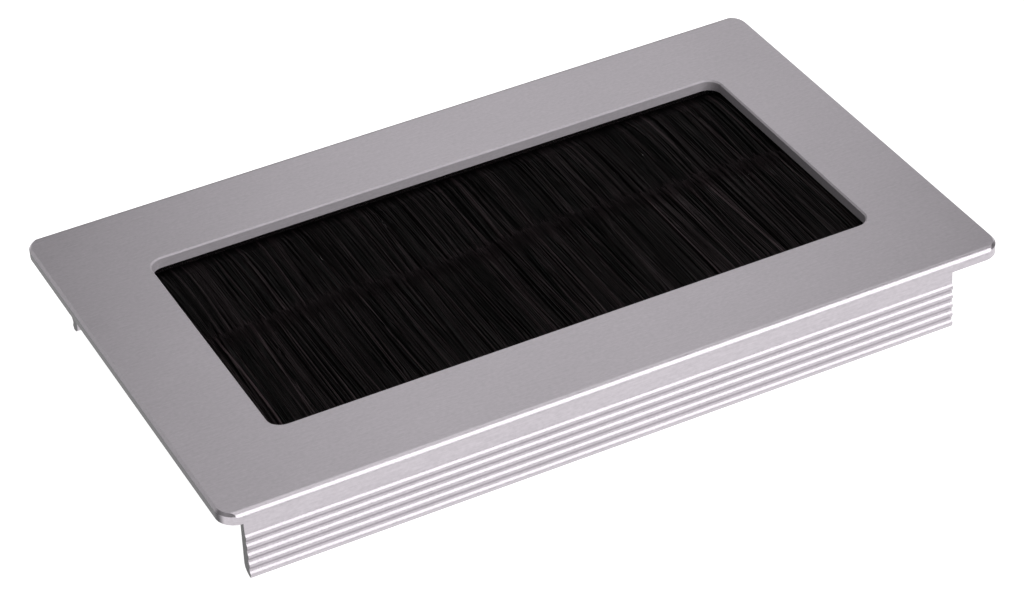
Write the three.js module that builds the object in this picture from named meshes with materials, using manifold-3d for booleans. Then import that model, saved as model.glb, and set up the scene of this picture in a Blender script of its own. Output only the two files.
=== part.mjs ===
// Rectangular desk grommet: an extruded aluminium frame with two ribbed legs, and two
// black strip brushes whose bristles meet across the cable opening.
//
// Millimetres. +X runs along the long side, +Y goes from the ribbed front skirt towards the
// rear flange, and +Z is up. The origin is the centre of the footprint, level with the feet
// of the legs, so that the part stands on the plane z = 0.

import * as THREE from "three";
import { mergeVertices } from "three/addons/utils/BufferGeometryUtils.js";
import Module from "manifold-3d";

const wasm = await Module();
wasm.setup();

// ---------------------------------------------------------------- driving dimensions

// Top plate
const PLATE_LENGTH = 160;
const PLATE_DEPTH = 100;
const PLATE_THICKNESS = 2.3;
const CORNER_RADIUS = 4;
const SHOULDER_RADIUS = 1.3;
const END_CHAMFER = 0.5;

// Cable opening, milled through the plate a little to the right of its middle
const OPENING_LENGTH = 125;
const OPENING_OFFSET = 0.7;
const OPENING_DEPTH = 60.6;
const OPENING_RADIUS = 3;
const OPENING_BEVEL = 0.3;

// Legs of the extrusion, milled away near both ends of the plate
const LEG_DROP = 12.2;
const LEG_TOP_THICKNESS = 1.5;
const LEG_FOOT_THICKNESS = 2.3;
const LEFT_OVERHANG = 3.7;
const RIGHT_OVERHANG = 11.3;
const REAR_FLANGE = 13.2;
const TOE_HEIGHT = 1.8;
const TOE_WIDTH = 0.3;

// Ribs on the outer face of each leg
const RIB_COUNT = 5;
const RIB_HEIGHT = 0.4;
const SMOOTH_BAND = 4.5;
const LAST_CREST_HEIGHT = 0.7;

// Grooves under the plate that hold the strip brushes
const LEDGE_THICKNESS = 1.5;
const HOOK_HEIGHT = 0.5;
const HOOK_SETBACK = 0.2;
const WEB_THICKNESS = 1.9;

// Strip brushes: a folded steel channel, a core wire and the bristles doubled over it
const CHANNEL_HEIGHT = 4.2;
const CHANNEL_DEPTH = 3.4;
const CHANNEL_WALL = 0.5;
const STRIP_INSET = 1;
const WIRE_DIAMETER = 1;
const TIP_SPREAD = 0.7;
const SEAM_Y = 4.5;
const OPENING_TUFTS = 8;

// Set screws that clamp each strip brush in its groove
const SCREW_DIAMETER = 2.5;
const SCREW_LENGTH = 2.4;
const SCREW_SPACING = 100;
const SOCKET_ACROSS_FLATS = 1.3;
const SOCKET_DEPTH = 1.2;

// Named clearances
const SLIDE_CLEARANCE = 0.15;
const THREAD_CLEARANCE = 0.1;
const WIRE_CLEARANCE = 0.1;
const BRISTLE_GAP = 0.3;
const FOLD_GAP = 0.2;
const TUFT_GAP = 0.2;
const SEAM_GAP = 0.6;
const OPENING_GAP = 0.3;

// Curve fineness
const RIB_STEPS = 16;
const TOE_STEPS = 6;
const SHOULDER_STEPS = 12;
const CORNER_STEPS = 12;
const ROUND_STEPS = 24;

// How solids are joined: how far a leg reaches up into the plate, and how close two vertices
// must be to be the same one.
const ROOT_DEPTH = 0.8;
const WELD_TOLERANCE = 1e-5;

// ---------------------------------------------------------------- derived dimensions

const PLATE_UNDERSIDE = LEG_DROP;
const PLATE_TOP = PLATE_UNDERSIDE + PLATE_THICKNESS;
const LEG_LEFT = -PLATE_LENGTH / 2 + LEFT_OVERHANG;
const LEG_RIGHT = PLATE_LENGTH / 2 - RIGHT_OVERHANG;
const FRONT_FACE = -PLATE_DEPTH / 2;
const REAR_LEG_FACE = PLATE_DEPTH / 2 - REAR_FLANGE;
const LEG_ROOT = PLATE_UNDERSIDE + ROOT_DEPTH;
const RIBS_START = PLATE_TOP - SMOOTH_BAND;
const RIB_PITCH = (RIBS_START - LAST_CREST_HEIGHT) / (RIB_COUNT - 0.5);

// A groove's web stands as far from the middle as the rear leg does. Its hook ends a little
// behind the opening's wall, so that the bristles can bend down past it.
const WEB_FACE = REAR_LEG_FACE;
const WEB_INNER = WEB_FACE - WEB_THICKNESS;
const HOOK_INNER = OPENING_DEPTH / 2 + HOOK_SETBACK;
const CHANNEL_BACK = WEB_INNER - SLIDE_CLEARANCE;
const CHANNEL_MOUTH = CHANNEL_BACK - CHANNEL_DEPTH;
const HOOK_OUTER = CHANNEL_MOUTH - SLIDE_CLEARANCE;
const CHANNEL_TOP = PLATE_UNDERSIDE - SLIDE_CLEARANCE;
const CHANNEL_BOTTOM = CHANNEL_TOP - CHANNEL_HEIGHT;
const CHANNEL_MIDDLE = (CHANNEL_TOP + CHANNEL_BOTTOM) / 2;
const LEDGE_TOP = CHANNEL_BOTTOM - SLIDE_CLEARANCE;
const LEDGE_BOTTOM = LEDGE_TOP - LEDGE_THICKNESS;

const BRISTLE_RADIUS = CHANNEL_HEIGHT / 2 - CHANNEL_WALL - BRISTLE_GAP;
const WIRE_Y = CHANNEL_BACK - CHANNEL_WALL - FOLD_GAP - BRISTLE_RADIUS;
const ROOT_Y = CHANNEL_MOUTH - SLIDE_CLEARANCE - BRISTLE_RADIUS;
const STRIP_LEFT = LEG_LEFT + STRIP_INSET;
const STRIP_RIGHT = LEG_RIGHT - STRIP_INSET;

// The screw holes are centred on the ledge's underside and come out above the ledge.
const SCREW_HOLE_LENGTH = 3 * LEDGE_THICKNESS;

// The two brushes are the same but for the side they stand on: +1 at the rear, -1 in front.
const SIDES = [
  { name: "rear", side: 1, tipY: SEAM_Y + SEAM_GAP / 2 },
  { name: "front", side: -1, tipY: SEAM_Y - SEAM_GAP / 2 },
];

// ---------------------------------------------------------------- materials

function material(color, roughness, metalness) {
  return new THREE.MeshStandardMaterial({ color, roughness, metalness });
}

const anodisedAluminium = () => material(0x9c999e, 0.36, 1);
const zincedSteel = () => material(0xa7a9ab, 0.42, 1);
const springWire = () => material(0x8a8c8f, 0.35, 1);
const blackNylon = () => material(0x121214, 0.55, 0);
const blackenedSteel = () => material(0x2b2c2e, 0.4, 1);

// ---------------------------------------------------------------- solids and booleans

// A closed geometry becomes a manifold solid once its doubled vertices are merged.
function toSolid(geometry) {
  const bare = geometry.clone();
  bare.deleteAttribute("normal");
  bare.deleteAttribute("uv");
  const merged = mergeVertices(bare, WELD_TOLERANCE);
  const mesh = new wasm.Mesh({
    numProp: 3,
    vertProperties: new Float32Array(merged.attributes.position.array),
    triVerts: new Uint32Array(merged.index.array),
  });
  return new wasm.Manifold(mesh);
}

function toGeometry(solid) {
  const mesh = solid.getMesh();
  const geometry = new THREE.BufferGeometry();
  geometry.setAttribute("position", new THREE.BufferAttribute(mesh.vertProperties, 3));
  geometry.setIndex(new THREE.BufferAttribute(mesh.triVerts, 1));
  geometry.computeVertexNormals();
  return geometry;
}

// Extrudes a section drawn as [y, z] points along X, from x0 to x1.
function alongX(section, x0, x1) {
  const shape = section instanceof THREE.Shape ? section : sectionShape(section);
  const geometry = new THREE.ExtrudeGeometry(shape, {
    depth: x1 - x0,
    bevelEnabled: false,
    curveSegments: ROUND_STEPS,
  });
  const turn = new THREE.Matrix4().makeBasis(
    new THREE.Vector3(0, 1, 0),
    new THREE.Vector3(0, 0, 1),
    new THREE.Vector3(1, 0, 0),
  );
  geometry.applyMatrix4(turn);
  geometry.translate(x0, 0, 0);
  return geometry;
}

function sectionShape(points) {
  return new THREE.Shape(points.map(([y, z]) => new THREE.Vector2(y, z)));
}

// Sections are drawn for the rear side, and mirrored for the front.
function onSide(points, side) {
  return points.map(([y, z]) => [side * y, z]);
}

// Points on an arc about [y, z], from one angle to another.
function arcPoints(y, z, radius, from, to, steps) {
  const points = [];
  for (let i = 0; i <= steps; i++) {
    const angle = from + (i / steps) * (to - from);
    points.push([y + radius * Math.cos(angle), z + radius * Math.sin(angle)]);
  }
  return points;
}

function roundedRectangle(length, depth, radius) {
  const x = length / 2;
  const y = depth / 2;
  const shape = new THREE.Shape();
  shape.moveTo(-x + radius, -y);
  shape.lineTo(x - radius, -y);
  shape.absarc(x - radius, -y + radius, radius, -Math.PI / 2, 0);
  shape.lineTo(x, y - radius);
  shape.absarc(x - radius, y - radius, radius, 0, Math.PI / 2);
  shape.lineTo(-x + radius, y);
  shape.absarc(-x + radius, y - radius, radius, Math.PI / 2, Math.PI);
  shape.lineTo(-x, -y + radius);
  shape.absarc(-x + radius, -y + radius, radius, Math.PI, Math.PI * 1.5);
  return shape;
}

// A rounded rectangle standing on z0, with a 45 degree chamfer all round at both ends.
function chamferedBlock(length, depth, radius, z0, z1, chamfer) {
  const inset = 2 * chamfer;
  const outline = roundedRectangle(length - inset, depth - inset, radius - chamfer);
  const geometry = new THREE.ExtrudeGeometry(outline, {
    depth: z1 - z0 - inset,
    bevelEnabled: true,
    bevelThickness: chamfer,
    bevelSize: chamfer,
    bevelSegments: 1,
    curveSegments: CORNER_STEPS,
  });
  geometry.translate(0, 0, z0 + chamfer);
  return geometry;
}

// ---------------------------------------------------------------- the extruded frame

// Section of the plate: square below, with a rounded shoulder along each long edge.
function plateSection() {
  const edge = PLATE_DEPTH / 2;
  const centreY = edge - SHOULDER_RADIUS;
  const centreZ = PLATE_TOP - SHOULDER_RADIUS;
  const quarter = Math.PI / 2;
  return [
    [-edge, PLATE_UNDERSIDE],
    [edge, PLATE_UNDERSIDE],
    ...arcPoints(centreY, centreZ, SHOULDER_RADIUS, 0, quarter, SHOULDER_STEPS),
    ...arcPoints(-centreY, centreZ, SHOULDER_RADIUS, quarter, 2 * quarter, SHOULDER_STEPS),
  ];
}

// Section of a leg, from its root in the plate to its toe. The outer face is smooth first,
// then waves out in round ribs. The leg thickens towards its foot, and there its inner face
// curves out to the toe.
function legSection(faceY, side) {
  const outer = [[0, LEG_ROOT]];
  const waveSteps = Math.round((RIB_COUNT - 0.5) * RIB_STEPS);
  for (let i = 0; i <= waveSteps; i++) {
    const fallen = (i / RIB_STEPS) * RIB_PITCH;
    const swing = 1 - Math.cos((fallen / RIB_PITCH) * 2 * Math.PI);
    outer.push([(RIB_HEIGHT * swing) / 2, RIBS_START - fallen]);
  }
  const toe = [[TOE_WIDTH / 2, 0]];
  for (let i = 0; i <= TOE_STEPS; i++) {
    const angle = (i / TOE_STEPS) * (Math.PI / 2);
    const reach = (LEG_FOOT_THICKNESS - TOE_WIDTH / 2) * Math.sin(angle);
    toe.push([-TOE_WIDTH / 2 - reach, TOE_HEIGHT * (1 - Math.cos(angle))]);
  }
  const inner = [[-LEG_TOP_THICKNESS, LEG_ROOT]];
  return [...outer, ...toe, ...inner].map(([out, z]) => [faceY + side * out, z]);
}

// Section of a groove: a web down from the plate, a ledge towards the opening, and a hook at
// the ledge's edge that keeps the strip brush in.
function grooveSection(side) {
  const points = [
    [WEB_FACE, LEG_ROOT],
    [WEB_FACE, LEDGE_BOTTOM],
    [HOOK_INNER, LEDGE_BOTTOM],
    [HOOK_INNER, LEDGE_TOP + HOOK_HEIGHT],
    [HOOK_OUTER, LEDGE_TOP + HOOK_HEIGHT],
    [HOOK_OUTER, LEDGE_TOP],
    [WEB_INNER, LEDGE_TOP],
    [WEB_INNER, LEG_ROOT],
  ];
  return onSide(points, side);
}

function screwPlaces() {
  const middle = (STRIP_LEFT + STRIP_RIGHT) / 2;
  return [
    { name: "left", x: middle - SCREW_SPACING / 2 },
    { name: "right", x: middle + SCREW_SPACING / 2 },
  ];
}

function frameGeometry() {
  let frame = toSolid(alongX(plateSection(), -PLATE_LENGTH / 2, PLATE_LENGTH / 2));
  const outline = chamferedBlock(
    PLATE_LENGTH, PLATE_DEPTH, CORNER_RADIUS, -PLATE_TOP, PLATE_TOP, END_CHAMFER,
  );
  frame = frame.intersect(toSolid(outline));

  frame = frame.add(toSolid(alongX(legSection(FRONT_FACE, -1), LEG_LEFT, LEG_RIGHT)));
  frame = frame.add(toSolid(alongX(legSection(REAR_LEG_FACE, 1), LEG_LEFT, LEG_RIGHT)));
  for (const { side } of SIDES) {
    frame = frame.add(toSolid(alongX(grooveSection(side), LEG_LEFT, LEG_RIGHT)));
  }

  frame = frame.subtract(toSolid(openingCutter()));
  for (const { side } of SIDES) {
    for (const { x } of screwPlaces()) {
      const hole = new THREE.CylinderGeometry(
        SCREW_DIAMETER / 2 + THREAD_CLEARANCE,
        SCREW_DIAMETER / 2 + THREAD_CLEARANCE,
        SCREW_HOLE_LENGTH,
        ROUND_STEPS,
      );
      hole.rotateX(Math.PI / 2);
      hole.translate(x, side * WIRE_Y, LEDGE_BOTTOM);
      frame = frame.subtract(toSolid(hole));
    }
  }
  return toGeometry(frame);
}

// The opening's cutter: straight walls through the plate, with room to spare above and below,
// and a block that widens at 45 degrees from the opening's outline for the bevel.
function openingCutter() {
  const straight = new THREE.ExtrudeGeometry(
    roundedRectangle(OPENING_LENGTH, OPENING_DEPTH, OPENING_RADIUS),
    { depth: 3 * PLATE_THICKNESS, bevelEnabled: false, curveSegments: CORNER_STEPS },
  );
  straight.translate(0, 0, PLATE_UNDERSIDE - PLATE_THICKNESS);
  const widening = 2 * OPENING_BEVEL;
  const bevel = chamferedBlock(
    OPENING_LENGTH + 2 * widening,
    OPENING_DEPTH + 2 * widening,
    OPENING_RADIUS + widening,
    PLATE_TOP - OPENING_BEVEL,
    PLATE_TOP + PLATE_THICKNESS,
    widening,
  );
  const cutter = toSolid(straight).add(toSolid(bevel));
  return toGeometry(cutter.translate([OPENING_OFFSET, 0, 0]));
}

// ---------------------------------------------------------------- the strip brushes

function channelGeometry(side) {
  const w = CHANNEL_WALL;
  const points = [
    [CHANNEL_MOUTH, CHANNEL_BOTTOM],
    [CHANNEL_BACK, CHANNEL_BOTTOM],
    [CHANNEL_BACK, CHANNEL_TOP],
    [CHANNEL_MOUTH, CHANNEL_TOP],
    [CHANNEL_MOUTH, CHANNEL_TOP - w],
    [CHANNEL_BACK - w, CHANNEL_TOP - w],
    [CHANNEL_BACK - w, CHANNEL_BOTTOM + w],
    [CHANNEL_MOUTH, CHANNEL_BOTTOM + w],
  ];
  return alongX(onSide(points, side), STRIP_LEFT, STRIP_RIGHT);
}

function wireGeometry(side) {
  const length = STRIP_RIGHT - STRIP_LEFT;
  const radius = WIRE_DIAMETER / 2;
  const wire = new THREE.CylinderGeometry(radius, radius, length, ROUND_STEPS / 2);
  wire.rotateZ(Math.PI / 2);
  wire.translate((STRIP_LEFT + STRIP_RIGHT) / 2, side * WIRE_Y, CHANNEL_MIDDLE);
  return wire;
}

// The bristles inside the channel, doubled over the core wire.
function foldGeometry(side) {
  const mouth = CHANNEL_MOUTH + FOLD_GAP;
  const half = Math.PI / 2;
  const outline = [
    [mouth, CHANNEL_MIDDLE - BRISTLE_RADIUS],
    ...arcPoints(WIRE_Y, CHANNEL_MIDDLE, BRISTLE_RADIUS, -half, half, ROUND_STEPS / 2),
    [mouth, CHANNEL_MIDDLE + BRISTLE_RADIUS],
  ];
  const shape = sectionShape(onSide(outline, side));
  const hole = new THREE.Path();
  const holeRadius = WIRE_DIAMETER / 2 + WIRE_CLEARANCE;
  hole.absarc(side * WIRE_Y, CHANNEL_MIDDLE, holeRadius, 0, 2 * Math.PI);
  shape.holes.push(hole);
  return alongX(shape, STRIP_LEFT, STRIP_RIGHT);
}

// One stretch of free bristles, from the mouth of the channel to its tips at tipY. The root
// is round about the line that the bristles bend on, and the tips spread a little.
function tuftGeometry(side, tipY, x0, x1) {
  const half = Math.PI / 2;
  const tipHalf = BRISTLE_RADIUS + TIP_SPREAD;
  const points = [
    ...arcPoints(ROOT_Y, CHANNEL_MIDDLE, BRISTLE_RADIUS, -half, half, ROUND_STEPS / 2),
    [side * tipY, CHANNEL_MIDDLE + tipHalf],
    [side * tipY, CHANNEL_MIDDLE - tipHalf],
  ];
  return alongX(onSide(points, side), x0, x1);
}

// Stretches of bristles from left to right: one hidden under each end of the plate, and the
// rest across the opening.
function tuftSpans() {
  const left = OPENING_OFFSET - OPENING_LENGTH / 2 + OPENING_GAP;
  const right = OPENING_OFFSET + OPENING_LENGTH / 2 - OPENING_GAP;
  const pitch = (right - left) / OPENING_TUFTS;
  const edges = [STRIP_LEFT, left];
  for (let i = 1; i <= OPENING_TUFTS; i++) {
    edges.push(left + i * pitch);
  }
  edges.push(STRIP_RIGHT);
  return edges.slice(1).map((x1, i) => ({
    x0: edges[i] + TUFT_GAP / 2,
    x1: x1 - TUFT_GAP / 2,
  }));
}

// ---------------------------------------------------------------- set screws

// A headless screw with a hexagon socket, driven up through the ledge against the channel.
function screwGeometry(x, side) {
  const radius = SCREW_DIAMETER / 2;
  const body = new THREE.CylinderGeometry(radius, radius, SCREW_LENGTH, ROUND_STEPS);
  const socketRadius = SOCKET_ACROSS_FLATS / Math.sqrt(3);
  const socket = new THREE.CylinderGeometry(
    socketRadius, socketRadius, 2 * SOCKET_DEPTH, 6,
  );
  socket.translate(0, -SCREW_LENGTH / 2, 0);
  const screw = toGeometry(toSolid(body).subtract(toSolid(socket)));
  screw.rotateX(Math.PI / 2);
  const tip = CHANNEL_BOTTOM - THREAD_CLEARANCE;
  screw.translate(x, side * WIRE_Y, tip - SCREW_LENGTH / 2);
  return screw;
}

// ---------------------------------------------------------------- assembly

function named(name, geometry, meshMaterial) {
  const mesh = new THREE.Mesh(geometry, meshMaterial);
  mesh.name = name;
  return mesh;
}

function brush({ name, side, tipY }) {
  const group = new THREE.Group();
  group.add(named(`${name}_brush_channel`, channelGeometry(side), zincedSteel()));
  group.add(named(`${name}_core_wire`, wireGeometry(side), springWire()));
  group.add(named(`${name}_bristle_fold`, foldGeometry(side), blackNylon()));
  tuftSpans().forEach(({ x0, x1 }, i) => {
    const number = String(i).padStart(2, "0");
    const tuft = tuftGeometry(side, tipY, x0, x1);
    group.add(named(`${name}_bristles_${number}`, tuft, blackNylon()));
  });
  return group;
}

function grommet() {
  const group = new THREE.Group();
  group.add(named("frame_extrusion", frameGeometry(), anodisedAluminium()));
  for (const place of SIDES) {
    group.add(brush(place));
    for (const screw of screwPlaces()) {
      const geometry = screwGeometry(screw.x, place.side);
      const name = `${place.name}_set_screw_${screw.name}`;
      group.add(named(name, geometry, blackenedSteel()));
    }
  }
  // The ribs stand out in front of the plate, so the footprint's centre is half a rib forward.
  group.position.y = RIB_HEIGHT / 2;
  return group;
}

export default grommet();
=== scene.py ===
# %% [markdown]
# A desk grommet, dressed for its picture.
#
# The metal parts come from the CAD model and keep their shape: they only need a finish. The
# brushes are the other way round. In CAD each stretch of bristles is one plain block, and here
# it becomes hundreds of separate nylon filaments, because that is all the eye sees of a brush.

import math

import bpy
import numpy as np
from mathutils import Matrix, Vector


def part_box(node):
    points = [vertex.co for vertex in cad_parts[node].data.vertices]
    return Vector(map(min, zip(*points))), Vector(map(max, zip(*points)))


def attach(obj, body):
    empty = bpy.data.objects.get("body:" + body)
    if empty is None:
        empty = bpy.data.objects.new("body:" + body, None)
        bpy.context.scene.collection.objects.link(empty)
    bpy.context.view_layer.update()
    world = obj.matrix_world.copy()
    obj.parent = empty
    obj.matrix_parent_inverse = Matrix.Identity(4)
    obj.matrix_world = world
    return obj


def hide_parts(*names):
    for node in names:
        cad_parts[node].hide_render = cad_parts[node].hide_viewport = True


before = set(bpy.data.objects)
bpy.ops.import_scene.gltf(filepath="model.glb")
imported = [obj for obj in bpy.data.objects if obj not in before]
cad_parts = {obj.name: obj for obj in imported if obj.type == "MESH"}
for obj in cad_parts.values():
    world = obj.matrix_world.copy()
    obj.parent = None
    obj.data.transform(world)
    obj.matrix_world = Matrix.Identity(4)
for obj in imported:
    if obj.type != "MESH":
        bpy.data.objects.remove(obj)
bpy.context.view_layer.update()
bpy.ops.object.select_all(action="DESELECT")
print("CAD nodes:", len(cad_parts))

# %% [markdown]
# Everything is in metres, and most sizes of a grommet are a few millimetres, so one short name
# for a millimetre keeps the numbers readable. The places of new pieces are read from the boxes
# of the CAD nodes. The steel channels sit just under the plate, so their top gives its
# underside.

# %% Units and places
MM = 0.001
CHANNEL_CLEARANCE = 0.15 * MM
plate_low, plate_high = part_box("frame_extrusion")
plate_top = plate_high.z
channel_low, channel_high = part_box("rear_brush_channel")
plate_underside = channel_high.z + CHANNEL_CLEARANCE
plate_centre = Vector(((plate_low.x + plate_high.x) / 2, 0, plate_top))
print("plate top and underside (mm):", round(plate_top / MM, 2), round(plate_underside / MM, 2))

# %% [markdown]
# The camera looks down on the grommet from its front left, from about two thirds of a metre
# away. A long lens keeps the long edges nearly parallel. The picture's middle is a little off
# the lens's axis, which the camera's shift gives.

# %% Camera
CAMERA_AZIMUTH = math.radians(22.66)
CAMERA_ELEVATION = math.radians(35.90)
CAMERA_ROLL = math.radians(-5.11)
CAMERA_FROM_PLATE = Vector((-224.5, -490.7, 370.9)) * MM
SENSOR_WIDTH = 36
LENS_LENGTH = 120.26
LENS_SHIFT = (0.0922, 0.0344)

camera_data = bpy.data.cameras.new("camera")
camera = bpy.data.objects.new("camera", camera_data)
bpy.context.scene.collection.objects.link(camera)
camera_data.sensor_width = SENSOR_WIDTH
camera_data.lens = LENS_LENGTH
camera_data.shift_x, camera_data.shift_y = LENS_SHIFT
turn = Matrix.Rotation(-CAMERA_AZIMUTH, 4, "Z")
tilt = Matrix.Rotation(math.radians(90) - CAMERA_ELEVATION, 4, "X")
roll = Matrix.Rotation(CAMERA_ROLL, 4, "Z")
move = Matrix.Translation(plate_centre + CAMERA_FROM_PLATE)
camera.matrix_world = move @ turn @ tilt @ roll
bpy.context.scene.camera = camera
print("camera at (mm):", [round(v / MM) for v in camera.location])

# %% [markdown]
# Colours are given as sRGB hex values, while Blender's sockets want linear numbers. One
# function turns the first into the second.

# %% Colours
def linear(hex_colour):
    """An sRGB hex colour as linear red, green, blue and alpha."""
    channels = [int(hex_colour[i:i + 2], 16) / 255 for i in (1, 3, 5)]
    curve = [c / 12.92 if c <= 0.04045 else ((c + 0.055) / 1.055) ** 2.4 for c in channels]
    return (*curve, 1.0)


print("mid grey is", round(linear("#808080")[0], 3))

# %% [markdown]
# A material is a small net of nodes. One function makes a material with its main shader, and
# one adds any other node with its settings, its numbers and its incoming wires, so that a finish
# below reads as a list of what it is made of.

# %% Helpers for materials
def new_material(name, **sockets):
    """A material whose main shader has these sockets set. Returns it, its tree and the shader."""
    material = bpy.data.materials.new(name)
    material.use_nodes = True
    tree = material.node_tree
    shader = tree.nodes["Principled BSDF"]
    for socket, value in sockets.items():
        shader.inputs[socket.replace("_", " ")].default_value = value
    return material, tree, shader


def add_node(tree, kind, settings=None, values=None, links=None):
    """Adds one node: settings are its own switches, values its sockets, links what feeds it."""
    node = tree.nodes.new(kind)
    for key, value in (settings or {}).items():
        setattr(node, key, value)
    for socket, value in (values or {}).items():
        node.inputs[socket].default_value = value
    for socket, output in (links or {}).items():
        tree.links.new(output, node.inputs[socket])
    return node


print("helpers ready")

# %% [markdown]
# Anodised aluminium. The extrusion is brushed along its length, then etched and anodised, which
# leaves a satin silver with fine lines along X. The lines are noise that is stretched along X
# and squeezed across it. Real lines are about a tenth of a millimetre apart. They are drawn at
# a quarter of a millimetre, or they would vanish. A fine grain breaks them up, as the etching
# does, and a cloudy noise gives the slight unevenness of an anodised coat. The sawn ends, those
# faces that look along X, are a dark grey: partly the rough sawn surface, partly painted shade,
# as they get little light from the side. The opening is milled after the brushing, so its walls
# are left matt, and throw light from all round instead of mirroring the black brushes.

# %% Anodised aluminium
LINE_PITCH = 0.25
LINE_LENGTH = 5.0
LINE_RANGE = (0.3, 0.7)
LINE_RELIEF = 0.15
RELIEF_DEPTH = 0.01 * MM
GRAIN_SIZE = 0.5
GRAIN_ALONG = 0.6
GRAIN_SHARE = 0.22
CLOUD_SIZE = 25.0
CLOUD_SHARE = 0.08
SATIN_ROUGHNESS = (0.30, 0.37)
MILLED_HALF_LENGTH = 64.2
MILLED_HALF_DEPTH = 31.6
MILLED_ROUGHNESS = 0.7
MILLED_METALLIC = 0.35
UPRIGHT_LIMIT = 0.85
SAWN_METALLIC = 0.3
SAWN_FACING = (0.8, 0.95)

aluminium, tree, shader = new_material(
    "brushed_anodised_aluminium", Metallic=1.0, Roughness=0.36, Specular_IOR_Level=0.1
)
coords = add_node(tree, "ShaderNodeTexCoord")
stretched = add_node(
    tree, "ShaderNodeMapping",
    values={"Scale": (1 / (LINE_LENGTH * MM), 1 / (LINE_PITCH * MM), 1 / (LINE_PITCH * MM))},
    links={"Vector": coords.outputs["Object"]},
)
lines = add_node(
    tree, "ShaderNodeTexNoise",
    values={"Scale": 1.0, "Detail": 3.0, "Roughness": 0.6},
    links={"Vector": stretched.outputs["Vector"]},
)
spread = add_node(
    tree, "ShaderNodeMapping",
    values={"Scale": (GRAIN_ALONG / (GRAIN_SIZE * MM), 1 / (GRAIN_SIZE * MM), 1 / (GRAIN_SIZE * MM))},
    links={"Vector": coords.outputs["Object"]},
)
grain = add_node(
    tree, "ShaderNodeTexNoise",
    values={"Scale": 1.0, "Detail": 2.0},
    links={"Vector": spread.outputs["Vector"]},
)
clouds = add_node(
    tree, "ShaderNodeTexNoise",
    values={"Scale": 1 / (CLOUD_SIZE * MM), "Detail": 2.0},
    links={"Vector": coords.outputs["Object"]},
)
facing = add_node(
    tree, "ShaderNodeSeparateXYZ", links={"Vector": coords.outputs["Normal"]}
)
place = add_node(tree, "ShaderNodeSeparateXYZ", links={"Vector": coords.outputs["Object"]})

# %% [markdown]
# The milled walls are those upright faces that lie within the opening's outline. The mask is
# three tests multiplied together: near the middle along X, near it along Y, and not looking up.

# %% Masks for the milled walls and the sawn ends
def below(value, limit):
    """One where the size of a value is under the limit, and nought elsewhere."""
    size = add_node(
        tree, "ShaderNodeMath", settings={"operation": "ABSOLUTE"}, links={0: value}
    )
    return add_node(
        tree, "ShaderNodeMath", settings={"operation": "LESS_THAN"},
        values={1: limit}, links={0: size.outputs[0]},
    )


def product(first, second):
    """Two masks multiplied."""
    return add_node(
        tree, "ShaderNodeMath", settings={"operation": "MULTIPLY"},
        links={0: first.outputs[0], 1: second.outputs[0]},
    )


inside = product(
    below(place.outputs["X"], MILLED_HALF_LENGTH * MM),
    below(place.outputs["Y"], MILLED_HALF_DEPTH * MM),
)
milled = product(inside, below(facing.outputs["Z"], UPRIGHT_LIMIT))
# The sawn ends are the faces that look along X. Their dark colour is partly painted shade.
sideways = add_node(
    tree, "ShaderNodeMath", settings={"operation": "ABSOLUTE"}, links={0: facing.outputs["X"]}
)
end_face = add_node(
    tree, "ShaderNodeMapRange",
    values={"From Min": SAWN_FACING[0], "From Max": SAWN_FACING[1]},
    links={"Value": sideways.outputs[0]},
)
not_milled = add_node(
    tree, "ShaderNodeMath", settings={"operation": "SUBTRACT"},
    values={0: 1.0}, links={1: milled.outputs[0]},
)
sawn = product(end_face, not_milled)
print("masks ready")

# %% [markdown]
# The brushed colour, the sawn colour and the roughness are then mixed by those masks. The
# sawn ends of the legs, below the plate, are left rough and painted darker than the trimmed edge
# of the plate: painted shade under the plate. The milled walls and the sawn ends are matt, so a
# part of their light is scattered, not mirrored. As a stand-in for that they are partly
# non-metal, and the specular level is low.

# %% Colour and roughness of the aluminium
line_tone = add_node(
    tree, "ShaderNodeMapRange",
    values={"From Min": LINE_RANGE[0], "From Max": LINE_RANGE[1]},
    links={"Value": lines.outputs["Fac"]},
)
brushed = add_node(
    tree, "ShaderNodeMix", settings={"data_type": "RGBA"},
    values={"A": linear("#bfb9bf"), "B": linear("#c9c3c9")},
    links={"Factor": line_tone.outputs["Result"]},
)
grained = add_node(
    tree, "ShaderNodeMix", settings={"data_type": "RGBA", "blend_type": "MULTIPLY"},
    values={"Factor": GRAIN_SHARE},
    links={"A": brushed.outputs["Result"], "B": grain.outputs["Fac"]},
)
clouded = add_node(
    tree, "ShaderNodeMix", settings={"data_type": "RGBA", "blend_type": "MULTIPLY"},
    values={"Factor": CLOUD_SHARE},
    links={"A": grained.outputs["Result"], "B": clouds.outputs["Fac"]},
)
# Below the plate's underside the sawn colour turns darker still: painted shade under the plate.
shade_under_plate = add_node(
    tree, "ShaderNodeMath", settings={"operation": "LESS_THAN"},
    values={1: plate_underside}, links={0: place.outputs["Z"]},
)
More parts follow.
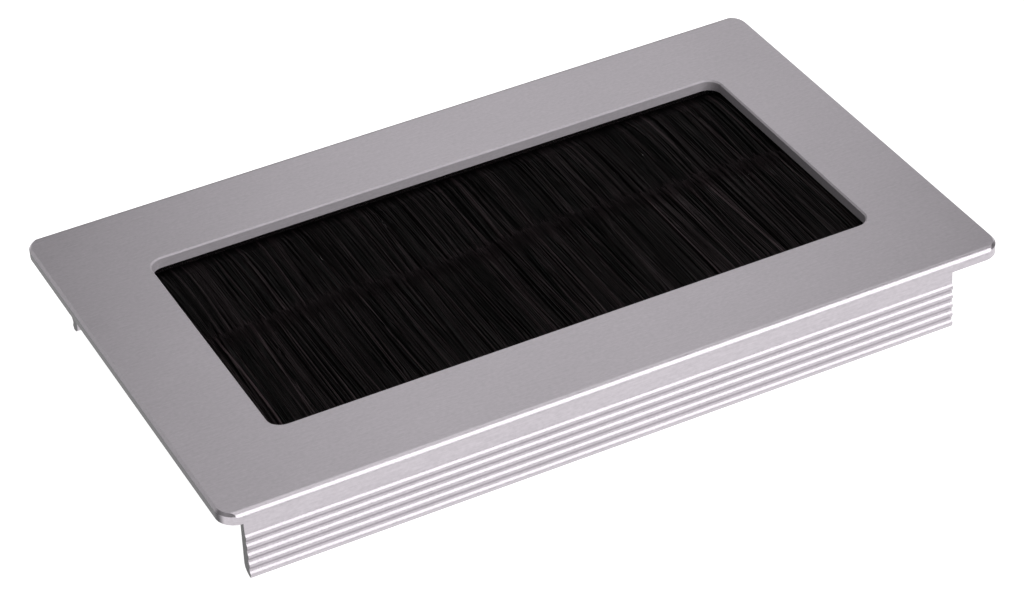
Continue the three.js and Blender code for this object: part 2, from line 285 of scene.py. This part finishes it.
# The sawn colour is a dark grey: partly the rough sawn surface, partly painted shade on faces that
# get little light from the side.
sawn_and_shaded_tone = add_node(
    tree, "ShaderNodeMix", settings={"data_type": "RGBA"},
    values={"A": linear("#4a484b"), "B": linear("#2a282b")},
    links={"Factor": shade_under_plate.outputs[0]},
)
finish = add_node(
    tree, "ShaderNodeMix", settings={"data_type": "RGBA"},
    links={
        "Factor": sawn.outputs[0],
        "A": clouded.outputs["Result"],
        "B": sawn_and_shaded_tone.outputs["Result"],
    },
)
satin = add_node(
    tree, "ShaderNodeMapRange",
    values={
        "From Min": LINE_RANGE[0], "From Max": LINE_RANGE[1],
        "To Min": SATIN_ROUGHNESS[0], "To Max": SATIN_ROUGHNESS[1],
    },
    links={"Value": lines.outputs["Fac"]},
)
roughness = add_node(
    tree, "ShaderNodeMix", values={"B": MILLED_ROUGHNESS},
    links={"Factor": milled.outputs[0], "A": satin.outputs["Result"]},
)
milled_metallic = add_node(
    tree, "ShaderNodeMix", values={"A": 1.0, "B": MILLED_METALLIC},
    links={"Factor": milled.outputs[0]},
)
metallic = add_node(
    tree, "ShaderNodeMix", values={"B": SAWN_METALLIC},
    links={"Factor": sawn.outputs[0], "A": milled_metallic.outputs["Result"]},
)
relief = add_node(
    tree, "ShaderNodeBump",
    values={"Strength": LINE_RELIEF, "Distance": RELIEF_DEPTH},
    links={"Height": lines.outputs["Fac"]},
)
tree.links.new(finish.outputs["Result"], shader.inputs["Base Color"])
tree.links.new(roughness.outputs["Result"], shader.inputs["Roughness"])
tree.links.new(metallic.outputs["Result"], shader.inputs["Metallic"])
tree.links.new(relief.outputs["Normal"], shader.inputs["Normal"])
print("aluminium nodes:", len(tree.nodes))

# %% [markdown]
# Zinc-plated steel. The brush holders are folded from thin strip. Bright zinc is a bluish grey
# with faint crystals a few millimetres wide, which a cell pattern draws.

# %% Zinc-plated steel
CRYSTAL_SIZE = 2.0

zinc, tree, shader = new_material("zinc_plated_steel", Metallic=1.0, Roughness=0.38)
coords = add_node(tree, "ShaderNodeTexCoord")
crystals = add_node(
    tree, "ShaderNodeTexVoronoi",
    values={"Scale": 1 / (CRYSTAL_SIZE * MM)},
    links={"Vector": coords.outputs["Object"]},
)
tones = add_node(
    tree, "ShaderNodeMix", settings={"data_type": "RGBA"},
    values={"A": linear("#a9adb2"), "B": linear("#c3c6ca")},
    links={"Factor": crystals.outputs["Color"]},
)
gloss = add_node(
    tree, "ShaderNodeMapRange",
    values={"To Min": 0.30, "To Max": 0.45},
    links={"Value": crystals.outputs["Color"]},
)
tree.links.new(tones.outputs["Result"], shader.inputs["Base Color"])
tree.links.new(gloss.outputs["Result"], shader.inputs["Roughness"])
print("zinc nodes:", len(tree.nodes))

# %% [markdown]
# Drawn spring wire. A die leaves hair-thin lines along the wire, so its noise is stretched
# along X as the brushing is, only finer.

# %% Drawn spring wire
DIE_LINE_LENGTH = 12
DIE_LINE_PITCH = 0.1

wire_steel, tree, shader = new_material("drawn_spring_wire", Metallic=1.0, Roughness=0.3)
coords = add_node(tree, "ShaderNodeTexCoord")
stretched = add_node(
    tree, "ShaderNodeMapping",
    values={
        "Scale": (
            1 / (DIE_LINE_LENGTH * MM), 1 / (DIE_LINE_PITCH * MM), 1 / (DIE_LINE_PITCH * MM),
        ),
    },
    links={"Vector": coords.outputs["Object"]},
)
lines = add_node(
    tree, "ShaderNodeTexNoise",
    values={"Scale": 1.0, "Detail": 2.0},
    links={"Vector": stretched.outputs["Vector"]},
)
tones = add_node(
    tree, "ShaderNodeMix", settings={"data_type": "RGBA"},
    values={"A": linear("#77797c"), "B": linear("#9a9c9f")},
    links={"Factor": lines.outputs["Fac"]},
)
tree.links.new(tones.outputs["Result"], shader.inputs["Base Color"])
print("wire nodes:", len(tree.nodes))

# %% [markdown]
# Black oxide steel. The set screws are blackened in a hot salt bath and oiled. The coat is thin
# and matt, with fine grain from the steel under it.

# %% Black oxide steel
OXIDE_GRAIN_SIZE = 0.15
OXIDE_RELIEF = 0.2

black_oxide, tree, shader = new_material("black_oxide_steel", Metallic=1.0, Roughness=0.45)
coords = add_node(tree, "ShaderNodeTexCoord")
grain = add_node(
    tree, "ShaderNodeTexNoise",
    values={"Scale": 1 / (OXIDE_GRAIN_SIZE * MM), "Detail": 3.0},
    links={"Vector": coords.outputs["Object"]},
)
tones = add_node(
    tree, "ShaderNodeMix", settings={"data_type": "RGBA"},
    values={"A": linear("#1c1d20"), "B": linear("#35363a")},
    links={"Factor": grain.outputs["Fac"]},
)
relief = add_node(
    tree, "ShaderNodeBump",
    values={"Strength": OXIDE_RELIEF, "Distance": RELIEF_DEPTH},
    links={"Height": grain.outputs["Fac"]},
)
tree.links.new(tones.outputs["Result"], shader.inputs["Base Color"])
tree.links.new(relief.outputs["Normal"], shader.inputs["Normal"])
print("black oxide nodes:", len(tree.nodes))

# %% [markdown]
# Black nylon filament. It is drawn through a die, so each filament is smooth and has a soft
# shine along its length, and no two are quite the same black. Each filament's own tone comes
# from an attribute that is stored when the filaments are made. Towards the tips the tone
# rises a little: a painted highlight along the tips.

# %% Black nylon
nylon, tree, shader = new_material(
    "black_nylon_filament", Roughness=0.42, IOR=1.53, Specular_IOR_Level=0.14
)
tone = add_node(tree, "ShaderNodeAttribute", settings={"attribute_name": "filament_tone"})
blacks = add_node(
    tree, "ShaderNodeMix", settings={"data_type": "RGBA"},
    values={"A": linear("#020202"), "B": linear("#3c3134")},
    links={"Factor": tone.outputs["Fac"]},
)
shine = add_node(
    tree, "ShaderNodeMapRange",
    values={"To Min": 0.55, "To Max": 0.36},
    links={"Value": tone.outputs["Fac"]},
)
tree.links.new(blacks.outputs["Result"], shader.inputs["Base Color"])
tree.links.new(shine.outputs["Result"], shader.inputs["Roughness"])
print("nylon nodes:", len(tree.nodes))

# %% [markdown]
# The metal nodes keep their CAD shape, and their slots take the finishes above.

# %% Finishes for the metal parts
FINISHES = {
    "extrusion": aluminium,
    "channel": zinc,
    "wire": wire_steel,
    "screw": black_oxide,
}
for name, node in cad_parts.items():
    for word, material in FINISHES.items():
        if word in name:
            node.data.materials.clear()
            node.data.materials.append(material)
            print(name, "is", material.name)

# %% [markdown]
# One filament is modelled: a three-sided ring is extruded along Y in equal steps, and
# the last ring is scaled down for the cut tip. Smooth shading makes the three sides look round.
# Six steps are enough for the gentle bend of a bristle, and they keep each filament at a few
# dozen faces, which matters because there are thousands.

# %% One filament
FILAMENT_RADIUS = 0.10 * MM
FILAMENT_SIDES = 3
FILAMENT_STEPS = 6
TIP_SCALE = 0.55


def make_filament(name, steps, tapered):
    """A straight filament of length 1 along Y, drawn as a thin ring extruded in equal steps."""
    bpy.ops.object.select_all(action="DESELECT")
    bpy.ops.mesh.primitive_circle_add(
        vertices=FILAMENT_SIDES, radius=FILAMENT_RADIUS, fill_type="NGON",
        rotation=(math.radians(90), 0, 0),
    )
    filament = bpy.context.object
    filament.name = name
    bpy.ops.object.transform_apply(location=True, rotation=True, scale=True)
    bpy.ops.object.mode_set(mode="EDIT")
    bpy.ops.mesh.select_all(action="SELECT")
    for step in range(steps):
        bpy.ops.mesh.extrude_region_move(
            TRANSFORM_OT_translate={"value": (0, 1 / steps, 0)}
        )
    if tapered:
        bpy.ops.transform.resize(value=(TIP_SCALE, 1, TIP_SCALE))
    bpy.ops.mesh.select_all(action="SELECT")
    bpy.ops.mesh.normals_make_consistent(inside=False)
    bpy.ops.object.mode_set(mode="OBJECT")
    return filament


def repeat(piece, count):
    """The piece many times over in one mesh, all in the same place for now."""
    bpy.context.view_layer.objects.active = piece
    piece.select_set(True)
    array = piece.modifiers.new("array", "ARRAY")
    array.count = count
    array.use_relative_offset = False
    array.use_constant_offset = True
    array.constant_offset_displace = (0, 0, 0)
    array.use_merge_vertices = False
    bpy.ops.object.modifier_apply(modifier=array.name)
    bpy.ops.object.shade_smooth()
    return piece


sample = make_filament("sample_filament", FILAMENT_STEPS, tapered=True)
print("one filament:", len(sample.data.vertices), "vertices,", len(sample.data.polygons), "faces")
bpy.data.objects.remove(sample)

# %% [markdown]
# A brush is not an even comb. Its filaments are fed in bunches about two and a half
# millimetres wide, and each bunch leans, lifts and closes up a little towards its tips, which
# leaves the dark gaps that give a brush its look. Inside a bunch a few neighbours stick
# together in locks, which catch the light as one streak. So a stretch is planned bunch by
# bunch and lock by lock, from random numbers with a fixed seed. Only the upper layers gather
# like this: the lower ones stay even, so that little shows through. The front brush is the
# longer one: its tips come up over the tips of the rear brush and make the wavy seam. Roots
# and tips are kept between the sides of the stretch. The bow between them is not, so some
# filaments reach up to about 0.4 mm past a side of their CAD block.

# %% Where the filaments of a stretch go
FILAMENTS_PER_MM = 66
BUNCH_WIDTH = 2.6 * MM
BUNCH_EDGE_SCATTER = 0.12
BUNCH_LEAN = 0.35 * MM
BUNCH_LIFT = 0.22 * MM
BUNCH_CLOSING = 0.34
LOCK_WIDTH = 0.38 * MM
LOCK_LAYERS = 5
LOCK_LEAN = 0.5 * MM
LOCK_LIFT = 0.12 * MM
LOCK_BOW = 0.16 * MM
LOCK_TONE = (0.7, 3.2)
UPPER_LEVEL = 0.7
LOOSE_LEAN = 0.14 * MM
LOOSE_BOW = 0.06 * MM
LOOSE_TONE = 0.1
STRAY_SHARE = 0.03
STRAY_LEAN = 0.9 * MM
STRAY_TONE = 0.2
SIZE_RANGE = (0.85, 1.15)
ROOT_HALF_HEIGHT = 1.1 * MM
EDGE_CLEARANCE = 0.02 * MM
WAVE_HEIGHT = 0.8 * MM
WAVE_LENGTH = 50
WAVE_OFFSET = 48
FALL_DEPTH = 2.4 * MM
FALL_START = 42
FALL_LENGTH = 20


def seam_wave(x):
    """How far the seam wanders along Y at x: slow waves, and a fall near its right end."""
    slow = WAVE_HEIGHT * np.sin(2 * np.pi * (x / MM + WAVE_OFFSET) / WAVE_LENGTH)
    fall = FALL_DEPTH * np.clip((x / MM - FALL_START) / FALL_LENGTH, 0, 1) ** 2
    return slow - fall


def bunches(rng, x0, x1):
    """Splits a stretch into bunches of about the usual width: their edges from left to right."""
    count = max(1, round((x1 - x0) / BUNCH_WIDTH))
    edges = np.linspace(x0, x1, count + 1)
    edges[1:-1] += rng.normal(0, BUNCH_EDGE_SCATTER * BUNCH_WIDTH, count - 1)
    return edges


def plan_stretch(rng, x0, x1, tone):
    """Root x, lean and lift of every filament of a stretch."""
    count = round((x1 - x0) / MM * FILAMENTS_PER_MM)
    edges = bunches(rng, x0, x1)
    root_x = x0 + (x1 - x0) * (np.arange(count) + rng.uniform(0, 1, count)) / count
    level = rng.uniform(-1, 1, count)
    upper = np.clip(level / UPPER_LEVEL, 0, 1)
    bunch = np.clip(np.searchsorted(edges, root_x) - 1, 0, len(edges) - 2)
    centre = (edges[bunch] + edges[bunch + 1]) / 2
    bunch_lean = rng.normal(0, BUNCH_LEAN, len(edges) - 1)[bunch]
    bunch_lift = rng.normal(0, BUNCH_LIFT, len(edges) - 1)[bunch]
    closing = rng.uniform(0.0, BUNCH_CLOSING, len(edges) - 1)[bunch]
    lock_columns = np.floor((root_x - x0) / LOCK_WIDTH).astype(int)
    lock = lock_columns * LOCK_LAYERS + np.floor((level + 1) / 2 * LOCK_LAYERS).astype(int)
    locks = lock.max() + 1
    lock_lean = rng.normal(0, LOCK_LEAN, locks)[lock]
    lock_lift = rng.normal(0, LOCK_LIFT, locks)[lock]
    lock_bow = rng.normal(0, LOCK_BOW, locks)[lock]
    lock_tone = tone * rng.beta(*LOCK_TONE, locks)[lock]
    stray = rng.random(count) < STRAY_SHARE
    lean = bunch_lean + lock_lean - closing * (root_x - centre)
    loose = rng.normal(0, LOOSE_LEAN, count) + stray * rng.normal(0, STRAY_LEAN, count)
    tip_x = root_x + upper * lean + loose
    return {
        "root_x": root_x,
        "tip_x": np.clip(tip_x, x0 + EDGE_CLEARANCE, x1 - EDGE_CLEARANCE),
        "lift": upper * (bunch_lift + lock_lift),
        "level": level,
        "bow": lock_bow + rng.normal(0, LOOSE_BOW, count),
        "tone": np.clip(lock_tone + rng.normal(0, LOOSE_TONE, count) + STRAY_TONE * stray, 0, 1),
        "size": rng.uniform(*SIZE_RANGE, count),
    }


print("bunch width (mm):", round(BUNCH_WIDTH / MM, 2))

# %% [markdown]
# The plan gives each filament its ends. Between them it follows a curve: it leaves the channel
# level, spreads into its own layer within a few millimetres, and the front ones rise again at
# their tips. All copies of the straight filament are then moved onto their curves at once, as
# arrays of numbers, because thousands of separate edits would take minutes.

# %% Comb the filaments onto their curves
TOP_SPREAD = {"rear": 1.85 * MM, "front": 1.55 * MM}
TIP_TOP = {"rear": 1.1 * MM, "front": 1.9 * MM}
BOTTOM_SPREAD = -1.6 * MM
HINGE_RADIUS = 1.25 * MM
SPREAD_LENGTH = 0.12
RAGGED_ENDS = 0.45 * MM
LEAN_POWER = 1.2
RISE_START = 0.35
RISE_LENGTH = 0.65
LIFT_LENGTH = 0.4
UPRIGHT_BOW = 0.5
# The last ring of each filament is painted lighter: a painted highlight at the tips.
TIP_HIGHLIGHT_START = 0.97
TIP_PAINTED_HIGHLIGHT = 0.25


def smooth(t):
    """Goes from 0 to 1 with a flat start and end."""
    t = np.clip(t, 0, 1)
    return t * t * (3 - 2 * t)


def filament_curves(name, side, hinge, tip_y, plan, rng, steps):
    """Points along each filament: arrays of x, y and z, one row for a filament."""
    t = np.linspace(0, 1, steps + 1)[None, :]
    level = plan["level"][:, None]
    root_z = ROOT_HALF_HEIGHT * level
    root_reach = np.sqrt(HINGE_RADIUS ** 2 - root_z ** 2)
    root_y = hinge.y + side * root_reach
    ragged = rng.normal(0, RAGGED_ENDS, len(level))[:, None]
    wave = seam_wave(plan["tip_x"])[:, None]
    end_y = tip_y + wave - side * ragged
    y = root_y + (end_y - root_y) * t
    lean = (plan["tip_x"] - plan["root_x"])[:, None]
    bow = plan["bow"][:, None] * np.sin(np.pi * t)
    x = plan["root_x"][:, None] + lean * t ** LEAN_POWER + bow
    share = (level + 1) / 2
    middle = BOTTOM_SPREAD + (TOP_SPREAD[name] - BOTTOM_SPREAD) * share
    tip = BOTTOM_SPREAD + (TIP_TOP[name] - BOTTOM_SPREAD) * share
    z = root_z + (middle - root_z) * smooth(t / SPREAD_LENGTH)
    z = z + (tip - middle) * smooth((t - RISE_START) / RISE_LENGTH)
    z = z + plan["lift"][:, None] * smooth(t / LIFT_LENGTH)
    z = z + UPRIGHT_BOW * plan["bow"][:, None] * np.sin(2 * np.pi * t)
    ceiling = np.maximum(TOP_SPREAD[name], TIP_TOP[name])
    return x, y, hinge.z + np.minimum(z, ceiling)


def lay_along(piece, x, y, z, size):
    """Moves the copies of a straight filament onto curves, ring by ring."""
    count, rings = x.shape
    flat = np.empty(len(piece.data.vertices) * 3)
    piece.data.vertices.foreach_get("co", flat)
    points = flat.reshape(count, rings, FILAMENT_SIDES, 3)
    offset = points[:, :, :, [0, 2]] * size[:, None, None, None]
    points[:, :, :, 0] = x[:, :, None] + offset[:, :, :, 0]
    points[:, :, :, 1] = y[:, :, None]
    points[:, :, :, 2] = z[:, :, None] + offset[:, :, :, 1]
    piece.data.vertices.foreach_set("co", points.ravel())
    piece.data.update()


def store_tone(piece, tone, rings):
    """Stores each filament's tone on its vertices, lighter at the tip: a painted highlight."""
    along = np.linspace(0, 1, rings)[None, :]
    values = np.clip(tone[:, None] + TIP_PAINTED_HIGHLIGHT * (along > TIP_HIGHLIGHT_START), 0, 1)
    values = np.repeat(values, FILAMENT_SIDES, axis=1)
    attribute = piece.data.attributes.new("filament_tone", "FLOAT", "POINT")
    attribute.data.foreach_set("value", values.ravel().astype(np.float32))


def make_stretch(name, side, number, hinge, tip_y):
    """One stretch of a brush, in the place of its CAD block."""
    node = f"{name}_bristles_{number:02d}"
    low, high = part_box(node)
    rng = np.random.default_rng(100 * (side + 2) + number)
    x0 = low.x + FILAMENT_RADIUS
    x1 = high.x - FILAMENT_RADIUS
    plan = plan_stretch(rng, x0, x1, BRUSH_TONE_AND_PAINTED_LIGHT[name])
    piece = make_filament(f"{name}_filaments_{number:02d}", FILAMENT_STEPS, tapered=True)
    repeat(piece, len(plan["root_x"]))
    x, y, z = filament_curves(name, side, hinge, tip_y, plan, rng, FILAMENT_STEPS)
    lay_along(piece, x, y, z, plan["size"])
    store_tone(piece, plan["tone"], FILAMENT_STEPS + 1)
    piece.data.materials.append(nylon)
    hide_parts(node)
    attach(piece, node)
    return piece


# %% [markdown]
# Each brush is made stretch by stretch. The tips are aimed one millimetre past the end of their
# CAD block, to close the seam. With the wave and the ragged ends they reach up to about four
# millimetres past it, so the two brushes run into each other there.

# %% Both brushes
STRETCHES = 10
# The front brush is painted lighter and the rear brush darker, though both are the same nylon:
# painted highlight on the front brush, painted shade on the rear one.
BRUSH_TONE_AND_PAINTED_LIGHT = {"rear": 0.9, "front": 1.25}
ROOT_RADIUS = 1.3 * MM
TIP_OVERLAP = 1.0 * MM
for name, side in (("rear", 1), ("front", -1)):
    total = 0
    for number in range(STRETCHES):
        low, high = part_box(f"{name}_bristles_{number:02d}")
        root_end, tip_end = (high.y, low.y) if side > 0 else (low.y, high.y)
        hinge = Vector((0, root_end - side * ROOT_RADIUS, (low.z + high.z) / 2))
        piece = make_stretch(name, side, number, hinge, tip_end - side * TIP_OVERLAP)
        total += len(piece.data.polygons)
    print(name, "brush faces:", total)

# %% [markdown]
# Inside the channel the bristles are doubled over the core wire. From outside only the strip's
# two ends show them, as a rounded bundle of cut loops around the wire. Each loop is a filament
# laid round the wire: in at the top, round the back, and out at the bottom.

# %% Bristles doubled over the core wire
LOOP_STEPS = 9
LOOP_LAYERS = 3
LOOP_PITCH = 0.26 * MM
LOOP_SCATTER = 0.03 * MM
LOOP_TONE = (1.3, 4.0)
MOUTH_REACH = 0.2 * MM
WIRE_GAP = 1.4 * FILAMENT_RADIUS
CHANNEL_GAP = 1.1 * FILAMENT_RADIUS


def loop_points(side, wire_y, wire_z, mouth_y, radius):
    """A path from the mouth over the top, round the wire's back and out below: y and z."""
    angles = np.linspace(np.pi / 2, -np.pi / 2, LOOP_STEPS - 1)
    y = [mouth_y, *(wire_y + side * radius * np.cos(angles)), mouth_y]
    z = [wire_z + radius, *(wire_z + radius * np.sin(angles)), wire_z - radius]
    return np.array(y), np.array(z)


def make_fold(name, side):
    """The doubled bristles of one brush, in layers around the wire."""
    node = f"{name}_bristle_fold"
    low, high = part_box(node)
    wire_low, wire_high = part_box(f"{name}_core_wire")
    wire_y = (wire_low.y + wire_high.y) / 2
    wire_z = (wire_low.z + wire_high.z) / 2
    inner = (wire_high.z - wire_low.z) / 2 + WIRE_GAP
    outer = (high.z - low.z) / 2 - CHANNEL_GAP
    mouth_y = (low.y if side > 0 else high.y) - side * MOUTH_REACH
    radii = np.linspace(inner, outer, LOOP_LAYERS)
    per_layer = int((high.x - low.x) / LOOP_PITCH)
    rng = np.random.default_rng(7 + side)
    rows_x, rows_y, rows_z = [], [], []
    for radius in radii:
        path_y, path_z = loop_points(side, wire_y, wire_z, mouth_y, radius)
        places = np.linspace(low.x + FILAMENT_RADIUS, high.x - FILAMENT_RADIUS, per_layer)
        places[1:-1] += rng.normal(0, LOOP_SCATTER, per_layer - 2)
        rows_x.append(np.repeat(places[:, None], len(path_y), axis=1))
        rows_y.append(np.repeat(path_y[None, :], per_layer, axis=0))
        rows_z.append(np.repeat(path_z[None, :], per_layer, axis=0))
    x, y, z = (np.concatenate(rows) for rows in (rows_x, rows_y, rows_z))
    piece = make_filament(f"{name}_doubled_filaments", LOOP_STEPS, tapered=False)
    repeat(piece, len(x))
    lay_round(piece, x, y, z)
    store_tone(piece, rng.beta(*LOOP_TONE, len(x)), LOOP_STEPS + 1)
    piece.data.materials.append(nylon)
    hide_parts(node)
    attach(piece, f"{name}_brush")
    return piece


def lay_round(piece, x, y, z):
    """Moves copies of a filament onto loops that lie across X, turning each ring with them."""
    count, rings = x.shape
    flat = np.empty(len(piece.data.vertices) * 3)
    piece.data.vertices.foreach_get("co", flat)
    points = flat.reshape(count, rings, FILAMENT_SIDES, 3)
    along_y = np.gradient(y, axis=1)
    along_z = np.gradient(z, axis=1)
    length = np.hypot(along_y, along_z)
    offset_x = points[:, :, :, 0].copy()
    offset_n = points[:, :, :, 2].copy()
    points[:, :, :, 0] = x[:, :, None] + offset_x
    points[:, :, :, 1] = y[:, :, None] - offset_n * (along_z / length)[:, :, None]
    points[:, :, :, 2] = z[:, :, None] + offset_n * (along_y / length)[:, :, None]
    piece.data.vertices.foreach_set("co", points.ravel())
    piece.data.update()


for name, side in (("rear", 1), ("front", -1)):
    fold = make_fold(name, side)
    print(fold.name, "faces:", len(fold.data.polygons))

# %% [markdown]
# The floor is a light table: a sheet of white acrylic that is lit a little from below, which
# keeps the ground white and the shadows faint. It is far larger than the view, so a plain plane
# does. The glow is turned off in a rectangle under the grommet, and fades in over a few
# millimetres: a painted shadow under the grommet, which also keeps its underside and the insides
# of its legs dark. A real table does not do that. It is there too because the glow would
# otherwise show through thin places in the brushes.

# %% Floor
FLOOR_SIZE = 6.0
FLOOR_GLOW = 1.0
PAINTED_SHADOW_MIDDLE = (-4, -4)
PAINTED_SHADOW_HALF_SIZE = (66, 36)
PAINTED_SHADOW_FADE = 4

acrylic, tree, shader = new_material(
    "white_acrylic_light_table", Base_Color=linear("#a0a0a0"), Roughness=0.9,
    Specular_IOR_Level=0.0, Emission_Color=linear("#ffffff"),
)
coords = add_node(tree, "ShaderNodeTexCoord")
floor_place = add_node(
    tree, "ShaderNodeSeparateXYZ", links={"Vector": coords.outputs["Object"]}
)
# The glow is left out inside this rectangle: a painted shadow under the grommet.
sides = []
for axis, middle, half in zip("XY", PAINTED_SHADOW_MIDDLE, PAINTED_SHADOW_HALF_SIZE):
    offset = add_node(
        tree, "ShaderNodeMath", settings={"operation": "SUBTRACT"},
        values={1: middle * MM}, links={0: floor_place.outputs[axis]},
    )
    distance = add_node(
        tree, "ShaderNodeMath", settings={"operation": "ABSOLUTE"}, links={0: offset.outputs[0]}
    )
    outside = add_node(
        tree, "ShaderNodeMapRange",
        values={
            "From Min": (half - PAINTED_SHADOW_FADE) * MM, "From Max": half * MM, "To Max": FLOOR_GLOW,
        },
        links={"Value": distance.outputs[0]},
    )
    sides.append(outside.outputs["Result"])
glow = add_node(
    tree, "ShaderNodeMath", settings={"operation": "MAXIMUM"}, links={0: sides[0], 1: sides[1]}
)
tree.links.new(glow.outputs[0], shader.inputs["Emission Strength"])
bpy.ops.object.select_all(action="DESELECT")
bpy.ops.mesh.primitive_plane_add(size=FLOOR_SIZE, location=(0, 0, 0))
floor = bpy.context.object
floor.name = "studio_floor"
floor.data.materials.append(acrylic)
print("floor (m):", FLOOR_SIZE)

# %% [markdown]
# The light of a product studio. A soft box behind the grommet is what the plate mirrors to the
# camera, a large one in front fills the skirt and its ribs, and one overhead lights the
# brushes. The world adds an even grey fill. A soft box is planned by its radiance, how bright
# its face looks, because that is what metal shows of it.

# %% Lights
def softbox(name, place, width, depth, radiance, aim=(0.0, 0.0, 0.0)):
    """A flat rectangular light of a given radiance at a place, turned to face the aim."""
    data = bpy.data.lights.new(name, "AREA")
    data.shape = "RECTANGLE"
    data.size = width
    data.size_y = depth
    data.energy = radiance * math.pi * width * depth
    light = bpy.data.objects.new(name, data)
    bpy.context.scene.collection.objects.link(light)
    light.location = place
    direction = Vector(aim) - Vector(place)
    light.rotation_euler = direction.to_track_quat("-Z", "Y").to_euler()
    return light


softbox("rear_softbox", (0.63, 1.32, 0.94), 0.6, 0.52, 1.1)
softbox("front_softbox", (0.65, -1.25, 1.0), 1.8, 1.65, 3.0)
softbox("top_softbox", (0.15, 0.25, 1.7), 1.3, 2.2, 1.3)
softbox("left_softbox", (-1.2, -0.2, 1.1), 1.0, 0.7, 0.4)
softbox("rear_left_softbox", (-0.95, 1.2, 0.5), 0.9, 0.5, 0.75)

WORLD_FILL = 0.13
world = bpy.data.worlds.new("studio_fill")
bpy.context.scene.world = world
world.use_nodes = True
world.node_tree.nodes["Background"].inputs["Color"].default_value = linear("#ffffff")
world.node_tree.nodes["Background"].inputs["Strength"].default_value = WORLD_FILL
bpy.context.scene.view_settings.view_transform = "Standard"
print("lights:", len(bpy.data.lights))
